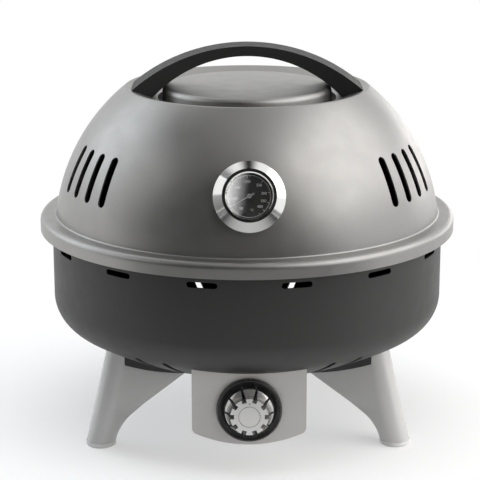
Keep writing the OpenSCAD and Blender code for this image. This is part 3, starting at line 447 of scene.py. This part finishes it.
# Holes in the bowl, azimuths from the front
SLOTS = 14
SLOT_L, SLOT_W = 29.5, 5.6
SLOT_Z = 198.0
SLOT_CUT = (-10, 10)
SLIT_L, SLIT_W = 65.0, 6.7
SLIT_AT = 154.5  # distance from the axis
SLITS = (25.4, 34.8, 85.2, 94.6, 148.2, 160.35)
SLIT_CUT = (60.7, CORNER_Z)
TUBE_HOLE_R = 9.2
TUBE_CUT = (55, 70)
IGNITER_HOLE_R = 3.7
IGNITER_AT = (-34.71, -41.37, 0)
IGNITER_CUT = (55, 75)
LEGS = {"left": -60, "right": 60, "rear": 180}
LEG_SCREWS_AT = (106, 134)
BURNER_SCREWS = (60, 180, 300)
BURNER_SCREW_AT = 24
PANEL_SCREW_X, PANEL_SCREW_Y = 38, 162
BOWL_SCREW_CUT = (-5, 3)


def bowl_height(r, d):
    """Height of the curved bottom at a radius, d outside its outer face."""
    return BOWL_C - math.sqrt((BOWL_R + d) ** 2 - r ** 2)


def bowl_wall(d):
    """Half section of the bowl from the axis to the top of its wall, d inside its outer face."""
    turn = math.degrees(math.atan2(CORNER_Z - BOWL_C, CORNER_AT))
    points = arc(0, BOWL_C, BOWL_R - d, -90, turn, 30)
    points += arc(CORNER_AT, CORNER_Z, CORNER_R - d, turn, 0, 16)[1:]
    points[0] = (0, points[0][1])
    return points + line(points[-1], (WALL_R - d, WALL_TOP - d), 6)


def bowl_section():
    """Section of the bowl's sheet, from the axis over its inner face and back outside."""
    edge, under = WALL_R + BOWL_LIP, WALL_TOP - BOWL_T
    lip = [(WALL_R - BOWL_T, WALL_TOP), (edge, WALL_TOP), (edge, under), (WALL_R, under)]
    return bowl_wall(BOWL_T) + lip + bowl_wall(0)[::-1]


def bowl_holes():
    """Cutters of the air slots, the bottom's slits, the tube's and igniter's holes and the screw holes."""
    level, upright = ((0, 0, 1), (0, -1, 0)), ((0, 1, 0), (0, 0, 1))
    slot = [(y, -x) for x, y in stadium(SLOT_L, SLOT_W)]
    holes = [prism(slot, aimed((i + 0.5) * 360 / SLOTS, (0, -WALL_R, SLOT_Z), *level), *SLOT_CUT)
             for i in range(SLOTS)]
    holes += [prism(stadium(SLIT_L, SLIT_W), aimed(side * a, (0, -SLIT_AT, 0), *upright), *SLIT_CUT)
              for side in (-1, 1) for a in SLITS]
    holes.append(prism(disc(TUBE_HOLE_R), aimed(0, (0, 0, 0), *upright), *TUBE_CUT))
    holes.append(prism(disc(IGNITER_HOLE_R, SCREW_FACES), aimed(0, IGNITER_AT, *upright), *IGNITER_CUT))
    panel_azimuth = math.degrees(math.atan2(PANEL_SCREW_X, PANEL_SCREW_Y))
    screws = [(a, r) for a in LEGS.values() for r in LEG_SCREWS_AT]
    screws += [(a, BURNER_SCREW_AT) for a in BURNER_SCREWS]
    screws += [(side * panel_azimuth, math.hypot(PANEL_SCREW_X, PANEL_SCREW_Y)) for side in (-1, 1)]
    for azimuth, r in screws:
        tilt = math.asin(r / BOWL_R)
        up, out = (0, -math.cos(tilt), math.sin(tilt)), (0, -math.sin(tilt), -math.cos(tilt))
        place = aimed(azimuth, (0, -r, bowl_height(r, 0)), up, out)
        holes.append(prism(disc(SCREW_HOLE_R, SCREW_FACES), place, *BOWL_SCREW_CUT))
    return joined(*holes)


bowl = carve(lathe(bowl_section()), bowl_holes())
bowl = add_piece("bowl_smooth", *bowl, LOOKS["bowl_paint"], "base", "bowl_paint", SHEET_SHARP)
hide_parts("bowl_shell")


# Legs and saddles

FOOT_R = 172.0  # axis of the post at the ground
LEAN = math.radians(14.7)  # of the post, inwards
POST_R = 14.5
EDGE_R = 6.0  # round of the web's thin edge
TIP_R = 75.0  # where the web's lower edge ends
SLOPE = math.radians(27)  # rise of the web's lower edge
FILLET = 40.0  # between post and web
PAD_H = 5.0
SADDLE_T = 9.0
SADDLE_END = 150.0  # saddles lie within this radius, legs reach the bowl beyond it
SEAT = 0.1  # gap that keeps faces of neighbours apart
COLS = 72  # points round a leg's section
POST_ROWS, CROWN_ROWS, SADDLE_ROWS = 84, 8, 6
HALVINGS = 40  # of the stretch in which a height is sought
SEARCH_ROOM = 8.0  # of that stretch above the bowl


def web_lines():
    """Centre of the fillet between post and web, and its ends."""
    pn = (-math.cos(LEAN), -math.sin(LEAN))
    wn = (-math.sin(SLOPE), -math.cos(SLOPE))
    po = pn[0] * FOOT_R + POST_R + FILLET
    wo = wn[0] * TIP_R + wn[1] * bowl_height(TIP_R, SADDLE_T) + FILLET
    det = pn[0] * wn[1] - pn[1] * wn[0]
    c = ((po * wn[1] - wo * pn[1]) / det, (wo * pn[0] - po * wn[0]) / det)
    return c, c[1] - FILLET * pn[1], (c[0] - FILLET * wn[0], c[1] - FILLET * wn[1])


WEB_C, POST_END, WEB_END = web_lines()


def inner_edge(z):
    """Distance from the axis of the leg's inner edge at a height."""
    if z < POST_END:
        return FOOT_R - z * math.tan(LEAN) - POST_R / math.cos(LEAN)
    if z < WEB_END[1]:
        return WEB_C[0] + math.sqrt(FILLET ** 2 - (z - WEB_C[1]) ** 2)
    return max(WEB_END[0] - (z - WEB_END[1]) / math.tan(SLOPE), TIP_R / 2)


def leg_point(z, t):
    """Point of the leg's level section at height z, t from 0 to 1 round it from the outer side."""
    axis = FOOT_R - z * math.tan(LEAN)
    reach = max(axis - inner_edge(z) - POST_R, 0)
    edge = max(EDGE_R, POST_R - reach / 3)
    shift = POST_R + reach - edge
    taper = math.asin(min((POST_R - edge) / shift, 1)) if shift > 1e-9 else math.pi / 2
    flat = math.sqrt(max(shift ** 2 - (POST_R - edge) ** 2, 0))
    lens = (POST_R * (math.pi / 2 + taper), flat, edge * (math.pi / 2 - taper))
    side, u = (1, 2 * t) if t <= 0.5 else (-1, 2 - 2 * t)
    run = u * sum(lens)
    if run <= lens[0]:
        a = run / POST_R - math.pi / 2
        x, y = POST_R * math.cos(a), POST_R * math.sin(a)
    elif run <= lens[0] + lens[1]:
        f = (run - lens[0]) / lens[1]
        x = math.cos(taper) * (POST_R + (edge - POST_R) * f)
        y = math.sin(taper) * (POST_R + (edge - POST_R) * f) + shift * f
    else:
        a = taper + (run - lens[0] - lens[1]) / edge
        x, y = edge * math.cos(a), shift + edge * math.sin(a)
    return side * x, y - axis, z


def meet(t, d):
    """Height at which the leg's side at t meets the ball d outside the bowl."""
    low, high = PAD_H, bowl_height(FOOT_R, 0) + SEARCH_ROOM
    for _ in range(HALVINGS):
        mid = (low + high) / 2
        x, y, z = leg_point(mid, t)
        if math.hypot(x, y, z - BOWL_C) > BOWL_R + d:
            low = mid
        else:
            high = mid
    return low


def loft(azimuth, bottom, top, rows):
    """Closed loft of the leg's section between two heights given round the section."""
    points, faces = [], []
    for i in range(rows + 1):
        for j in range(COLS):
            point = leg_point(bottom[j] + (top[j] - bottom[j]) * i / rows, j / COLS)
            points.append(turned(point, azimuth))
    for i in range(rows):
        for j in range(COLS):
            k = (j + 1) % COLS
            faces.append((i * COLS + j, i * COLS + k, (i + 1) * COLS + k, (i + 1) * COLS + j))
    for row, flip in ((0, True), (rows, False)):
        ring = list(range(row * COLS, (row + 1) * COLS))
        points.append([sum(points[v][c] for v in ring) / COLS for c in range(3)])
        hub = len(points) - 1
        for j in range(COLS):
            k = (j + 1) % COLS
            faces.append((hub, ring[k], ring[j]) if flip else (hub, ring[j], ring[k]))
    return points, faces


def cut(shape, azimuth, reach, outer):
    """Part of a closed shape beyond, or within, a distance out along an azimuth."""
    out = Vector(turned((0, -1, 0), azimuth))
    bm = bmesh.new()
    verts = [bm.verts.new(q) for q in shape[0]]
    for f in shape[1]:
        bm.faces.new([verts[v] for v in f])
    bmesh.ops.bisect_plane(bm, geom=bm.verts[:] + bm.edges[:] + bm.faces[:], plane_co=out * reach,
                           plane_no=out, clear_outer=not outer, clear_inner=outer)
    bmesh.ops.holes_fill(bm, edges=[e for e in bm.edges if e.is_boundary])
    bm.verts.index_update()
    points = [tuple(v.co) for v in bm.verts]
    faces = [tuple(v.index for v in f.verts) for f in bm.faces]
    bm.free()
    return points, faces


LEG_TOP, PAD_LOW, PAD_TOP = (
    [meet(j / COLS, d) for j in range(COLS)] for d in (SADDLE_T, SADDLE_T - SEAT, SEAT))
saddles = []
for name, azimuth in LEGS.items():
    post = loft(azimuth, [PAD_H] * COLS, LEG_TOP, POST_ROWS)
    crown = cut(loft(azimuth, LEG_TOP, PAD_TOP, CROWN_ROWS), azimuth, SADDLE_END, True)
    leg = add_piece("leg_smooth_" + name, *joined(post, crown), LOOKS["leg_silver"], "base", "leg_silver")
    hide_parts("leg_" + name)
    saddles.append(cut(loft(azimuth, PAD_LOW, PAD_TOP, SADDLE_ROWS), azimuth, SADDLE_END - SEAT, False))
saddle = add_piece("saddles_smooth", *joined(*saddles), LOOKS["saddle_dark"], "base", "saddle_dark")
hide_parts("leg_saddles")


# Dial print, knob pointer and painted shade round the knob cap, angles clockwise from the top

DIAL_FACE = 2.93  # print above the dome's face
SCALE = {50: -146, 100: -99.3, 150: -52.6, 200: -5.9, 250: 41.2, 300: 79, 350: 108.8, 400: 135.2}
SCALE_R, SCALE_OUT = 19.3, 19.6
LONG_R, LONG_W = 17.1, 0.42
SHORT_R, SHORT_W = 18.2, 0.24
STEPS = 5  # between two numbers
LAST_ANGLE, LAST_R, LAST_W = 150.5, 17.6, 0.3  # mark after the highest number
NUMBER_R, NUMBER_SIZE = 13.5, 3.5
UNIT_X, UNIT_Y, UNIT_SIZE = 2.2, -12.8, 3.0
KNOB_AT = (0, -172.0, 68.886)  # axis of the knob on the panel's face
KNOB_FACE = 21.03  # marks before the panel's face
POINTER = [(-0.95, 12.6), (0.95, 12.6), (0, 14.2)]
CAP_SHADE_LINE = (9.9, 10.35)  # radii of the dark ring of painted shade in the gap round the cap
RING_FACES = 160


class Print:
    """Flat inked shapes on a plane."""

    def __init__(self, place, height):
        self.place, self.height = place, height
        self.points, self.faces = [], []

    def shape(self, outline, turn=0.0):
        """Face turned clockwise about the plane's origin."""
        c, s = math.cos(turn), math.sin(turn)
        start = len(self.points)
        for x, y in outline:
            self.points.append(self.place(x * c + y * s, y * c - x * s, self.height))
        self.faces.append(tuple(range(start, len(self.points))))

    def bar(self, angle, r0, r1, width):
        """Mark along a radius."""
        w = width / 2
        self.shape([(-w, r0), (w, r0), (w, r1), (-w, r1)], math.radians(angle))

    def ring(self, r0, r1):
        """Band between two radii."""
        for i in range(RING_FACES):
            a, b = (2 * math.pi * k / RING_FACES for k in (i, i + 1))
            self.shape([(r * math.sin(t), r * math.cos(t)) for r, t in ((r0, b), (r1, b), (r1, a), (r0, a))])

    def text(self, words, x, y, size):
        """Words centred on a point."""
        curve = bpy.data.curves.new("digits", "FONT")
        curve.body = words
        curve.size = size
        curve.align_x = "CENTER"
        curve.align_y = "CENTER"
        curve.resolution_u = 3
        holder = bpy.data.objects.new("digits", curve)
        scene.collection.objects.link(holder)
        bpy.context.view_layer.update()
        mesh = bpy.data.meshes.new_from_object(holder.evaluated_get(bpy.context.evaluated_depsgraph_get()))
        start = len(self.points)
        self.points.extend(self.place(x + v.co.x, y + v.co.y, self.height) for v in mesh.vertices)
        self.faces.extend(tuple(start + v for v in f.vertices) for f in mesh.polygons)
        bpy.data.objects.remove(holder)
        bpy.data.curves.remove(curve)
        bpy.data.meshes.remove(mesh)


scale = Print(aimed(0, ON_DOME, DOME_UP, DOME_OUT), DIAL_FACE)
scale.ring(SCALE_R, SCALE_OUT)
for number, angle in SCALE.items():
    a = math.radians(angle)
    scale.bar(angle, LONG_R, SCALE_R, LONG_W)
    scale.text(str(number), NUMBER_R * math.sin(a), NUMBER_R * math.cos(a), NUMBER_SIZE)
angles = list(SCALE.values())
for angle, following in zip(angles, angles[1:]):
    for i in range(1, STEPS):
        scale.bar(angle + i * (following - angle) / STEPS, SHORT_R, SCALE_R, SHORT_W)
scale.bar(LAST_ANGLE, LAST_R, SCALE_R, LAST_W)
scale.text("°C", UNIT_X, UNIT_Y, UNIT_SIZE)
add_piece("dial_print", scale.points, scale.faces, print_ink(), "lid", "needle_silver")

pointer = Print(aimed(0, KNOB_AT, (0, 0, 1), (0, -1, 0)), KNOB_FACE)
pointer.shape(POINTER)
# Painted shade: a dark ring stands in for the shadowed gap round the cap
pointer.ring(*CAP_SHADE_LINE)
add_piece("knob_pointer_and_cap_shade", pointer.points, pointer.faces, LOOKS["bezel_black"], "knob", "bezel_black")


# Floor, light and camera, in metres

FLOOR_SIZE = 60
FLOOR_COLOR = (0.86, 0.86, 0.87, 1)
SHADE_START, SHADE_END, SHADE_SHARE = 0.12, 0.6, 0.4  # floor whitens outwards from this share
AMBIENT = 0.42  # level of the world that lights matt faces
LAMP_TARGET = Vector((0, 0, 0.25))
LAMP_DISTANCE = 1.9
COOL, WARM, WHITE = (0.86, 0.94, 1.0), (1.0, 0.975, 0.935), (1.0, 1.0, 1.0)
PICTURE = 480  # side of the photograph in pixels
FOCAL, SIDE_SHIFT = 1730, -7  # in pixels of the photograph
SENSOR = 36  # in millimetres
EYE_AWAY, EYE_HIGH = 1.717, 0.653
EYE_YAW, EYE_DOWN = -0.68, 15.12  # in degrees


def stage_material(name, build):
    """Material of the stage, its nodes made by build."""
    mat = bpy.data.materials.new(name)
    mat.use_nodes = True
    mat.node_tree.nodes.clear()
    build(mat.node_tree)
    return mat


def light_path(tree):
    """1 for camera, glossy and transmission rays."""
    path = tree.nodes.new("ShaderNodeLightPath")
    a = tree.nodes.new("ShaderNodeMath")
    a.operation = "MAXIMUM"
    b = tree.nodes.new("ShaderNodeMath")
    b.operation = "MAXIMUM"
    tree.links.new(path.outputs["Is Camera Ray"], a.inputs[0])
    tree.links.new(path.outputs["Is Glossy Ray"], a.inputs[1])
    tree.links.new(a.outputs[0], b.inputs[0])
    tree.links.new(path.outputs["Is Transmission Ray"], b.inputs[1])
    return b.outputs[0]


def smooth_fade(tree, value, start, end, first, last):
    """Level that goes smoothly from first at start to last at end."""
    fade = tree.nodes.new("ShaderNodeMapRange")
    fade.interpolation_type = "SMOOTHSTEP"
    for key, level in (("From Min", start), ("From Max", end), ("To Min", first), ("To Max", last)):
        fade.inputs[key].default_value = level
    tree.links.new(value, fade.inputs["Value"])
    return fade.outputs[0]


def floor_nodes(tree):
    """White to the eye but for the shade under the grill."""
    out = tree.nodes.new("ShaderNodeOutputMaterial")
    diffuse = tree.nodes.new("ShaderNodeBsdfDiffuse")
    diffuse.inputs["Color"].default_value = FLOOR_COLOR
    white = tree.nodes.new("ShaderNodeEmission")
    white.inputs["Strength"].default_value = 1.0
    coord = tree.nodes.new("ShaderNodeTexCoord")
    length = tree.nodes.new("ShaderNodeVectorMath")
    length.operation = "LENGTH"
    tree.links.new(coord.outputs["Object"], length.inputs[0])
    fade = smooth_fade(tree, length.outputs["Value"], SHADE_START, SHADE_END, SHADE_SHARE, 1.0)
    seen = tree.nodes.new("ShaderNodeMath")
    seen.operation = "MULTIPLY"
    tree.links.new(fade, seen.inputs[0])
    tree.links.new(light_path(tree), seen.inputs[1])
    mix = tree.nodes.new("ShaderNodeMixShader")
    tree.links.new(seen.outputs[0], mix.inputs[0])
    tree.links.new(diffuse.outputs[0], mix.inputs[1])
    tree.links.new(white.outputs[0], mix.inputs[2])
    tree.links.new(mix.outputs[0], out.inputs[0])


def plane(name, size_x, size_y, matrix, mat):
    """Rectangle of the stage."""
    mesh = bpy.data.meshes.new(name)
    x, y = size_x / 2, size_y / 2
    mesh.from_pydata([(-x, -y, 0), (x, -y, 0), (x, y, 0), (-x, y, 0)], [], [(0, 1, 2, 3)])
    mesh.materials.append(mat)
    obj = bpy.data.objects.new(name, mesh)
    obj.matrix_world = matrix
    scene.collection.objects.link(obj)
    return obj


def facing(location, target):
    """Matrix of a lamp or card at location whose -Z looks at target."""
    d = Vector(target) - Vector(location)
    return Matrix.Translation(location) @ d.to_track_quat("-Z", "Y").to_matrix().to_4x4()


plane("floor", FLOOR_SIZE, FLOOR_SIZE, Matrix.Identity(4), stage_material("floor_look", floor_nodes))


def card(name, size_x, size_y, place, first, last, start=-1.0, end=1.0):
    """Card that only shiny faces show, its glow going from first to last between two places across it."""
    def build(tree):
        out = tree.nodes.new("ShaderNodeOutputMaterial")
        glow = tree.nodes.new("ShaderNodeEmission")
        coord = tree.nodes.new("ShaderNodeTexCoord")
        axes = tree.nodes.new("ShaderNodeSeparateXYZ")
        tree.links.new(coord.outputs["Object"], axes.inputs[0])
        fade = smooth_fade(tree, axes.outputs["X"], start, end, first, last)
        tree.links.new(fade, glow.inputs["Strength"])
        tree.links.new(glow.outputs[0], out.inputs[0])

    obj = plane(name, size_x, size_y, place, stage_material(name + "_look", build))
    obj.visible_camera = False
    obj.visible_diffuse = False
    obj.visible_shadow = False
    return obj


# The front stays dark in the paint and the chrome, as in the photograph
card("front_card", 8.6, 2.6, facing((-1.5, -2.6, 2.2), (-1.5, 0, 2.2)), 0.02, 0.02)
card("left_card", 2.2, 1.5, facing((-3.3, -1.7, 0.8), (0, -0.5, 0.8)), 0.35, 0.05)
card("low_card", 8.6, 0.9, facing((-1.5, -2.6, 0.45), (-1.5, 0, 0.45)), 0.08, 0.08)
card("floor_card", 5.0, 1.75, Matrix.Translation((-0.5, -1.675, 0.002)), 0.2, 0.2)
card("near_left_card", 0.9, 0.4, Matrix.Translation((-0.45, -0.6, 0.002)), 0.05, 0.55, -0.35, 0.45)
card("near_right_card", 0.9, 0.4, Matrix.Translation((0.45, -0.6, 0.002)), 0.55, 0.05, -0.45, 0.35)
card("ceiling_card", 4.2, 3.2, Matrix.Translation((-1.0, -1.0, 3.5)), 0.15, 0.45)
card("top_left_card", 0.9, 1.0, Matrix.Translation((-0.45, 1.0, 3.4)), 0.9, 0.02, -0.45, 0.4)
card("top_right_card", 0.9, 1.0, Matrix.Translation((0.45, 1.0, 3.4)), 0.02, 0.9, -0.4, 0.45)
card("side_card", 0.9, 1.6, Matrix.Translation((-2.5, 1.2, 2.9)), 0.03, 0.9, -0.4, 0.45)

world = bpy.data.worlds.new("studio")
scene.world = world
world.use_nodes = True
tree = world.node_tree
tree.nodes.clear()
out = tree.nodes.new("ShaderNodeOutputWorld")
low = tree.nodes.new("ShaderNodeBackground")
low.inputs["Strength"].default_value = AMBIENT
high = tree.nodes.new("ShaderNodeBackground")
high.inputs["Strength"].default_value = 1.0
for n in (low, high):
    n.inputs["Color"].default_value = (1, 1, 1, 1)
mix = tree.nodes.new("ShaderNodeMixShader")
tree.links.new(light_path(tree), mix.inputs[0])
tree.links.new(low.outputs[0], mix.inputs[1])
tree.links.new(high.outputs[0], mix.inputs[2])
tree.links.new(mix.outputs[0], out.inputs[0])


def softbox(name, azimuth, elevation, size_x, size_y, level, tint, glossy=True):
    """Lamp seen from the grill at an azimuth from the front and an elevation, level is its brightness."""
    a, e = math.radians(azimuth), math.radians(elevation)
    away = Vector((math.sin(a) * math.cos(e), -math.cos(a) * math.cos(e), math.sin(e)))
    lamp = bpy.data.lights.new(name, "AREA")
    lamp.shape = "RECTANGLE"
    lamp.size = size_x
    lamp.size_y = size_y
    lamp.energy = level * math.pi * size_x * size_y
    lamp.color = tint
    obj = bpy.data.objects.new(name, lamp)
    obj.matrix_world = facing(LAMP_TARGET + LAMP_DISTANCE * away, LAMP_TARGET)
    obj.visible_glossy = glossy
    obj.visible_camera = False
    scene.collection.objects.link(obj)


softbox("left_box", -116, 30, 1.2, 1.3, 1.15, COOL)
softbox("right_box", 74, 38, 3.0, 1.6, 1.45, WARM)
softbox("back_box", 138, 4, 1.5, 0.5, 1.8, WARM)
softbox("low_left_box", -128, 8, 1.2, 0.6, 8.0, COOL, glossy=False)
softbox("low_right_box", 72, 8, 1.2, 0.6, 8.0, WARM, glossy=False)
softbox("top_box", 0, 80, 1.6, 1.4, 3.0, WHITE, glossy=False)

# Bright card that only the thermometer's glass shows, at its left side
glare = card("glare_card", 1.1, 1.6, facing((-0.55, -2.3, 1.65), (0, -0.2, 0.3)), 26.0, 0.0, -0.25, 0.58)
glare.visible_transmission = False
shown = bpy.data.collections.new("glare_shown_in")
shown.objects.link(nodes["thermometer_glass"])
glare.light_linking.receiver_collection = shown

camera = bpy.data.cameras.new("photo_camera")
camera.sensor_width = SENSOR
camera.lens = SENSOR * FOCAL / PICTURE
camera.shift_x = SIDE_SHIFT / PICTURE
eye = bpy.data.objects.new("photo_camera", camera)
yaw = math.radians(EYE_YAW)
eye.location = (EYE_AWAY * math.sin(yaw), -EYE_AWAY * math.cos(yaw), EYE_HIGH)
eye.rotation_euler = (math.radians(90 - EYE_DOWN), 0, yaw)
scene.collection.objects.link(eye)
scene.camera = eye
scene.view_settings.view_transform = "Standard"
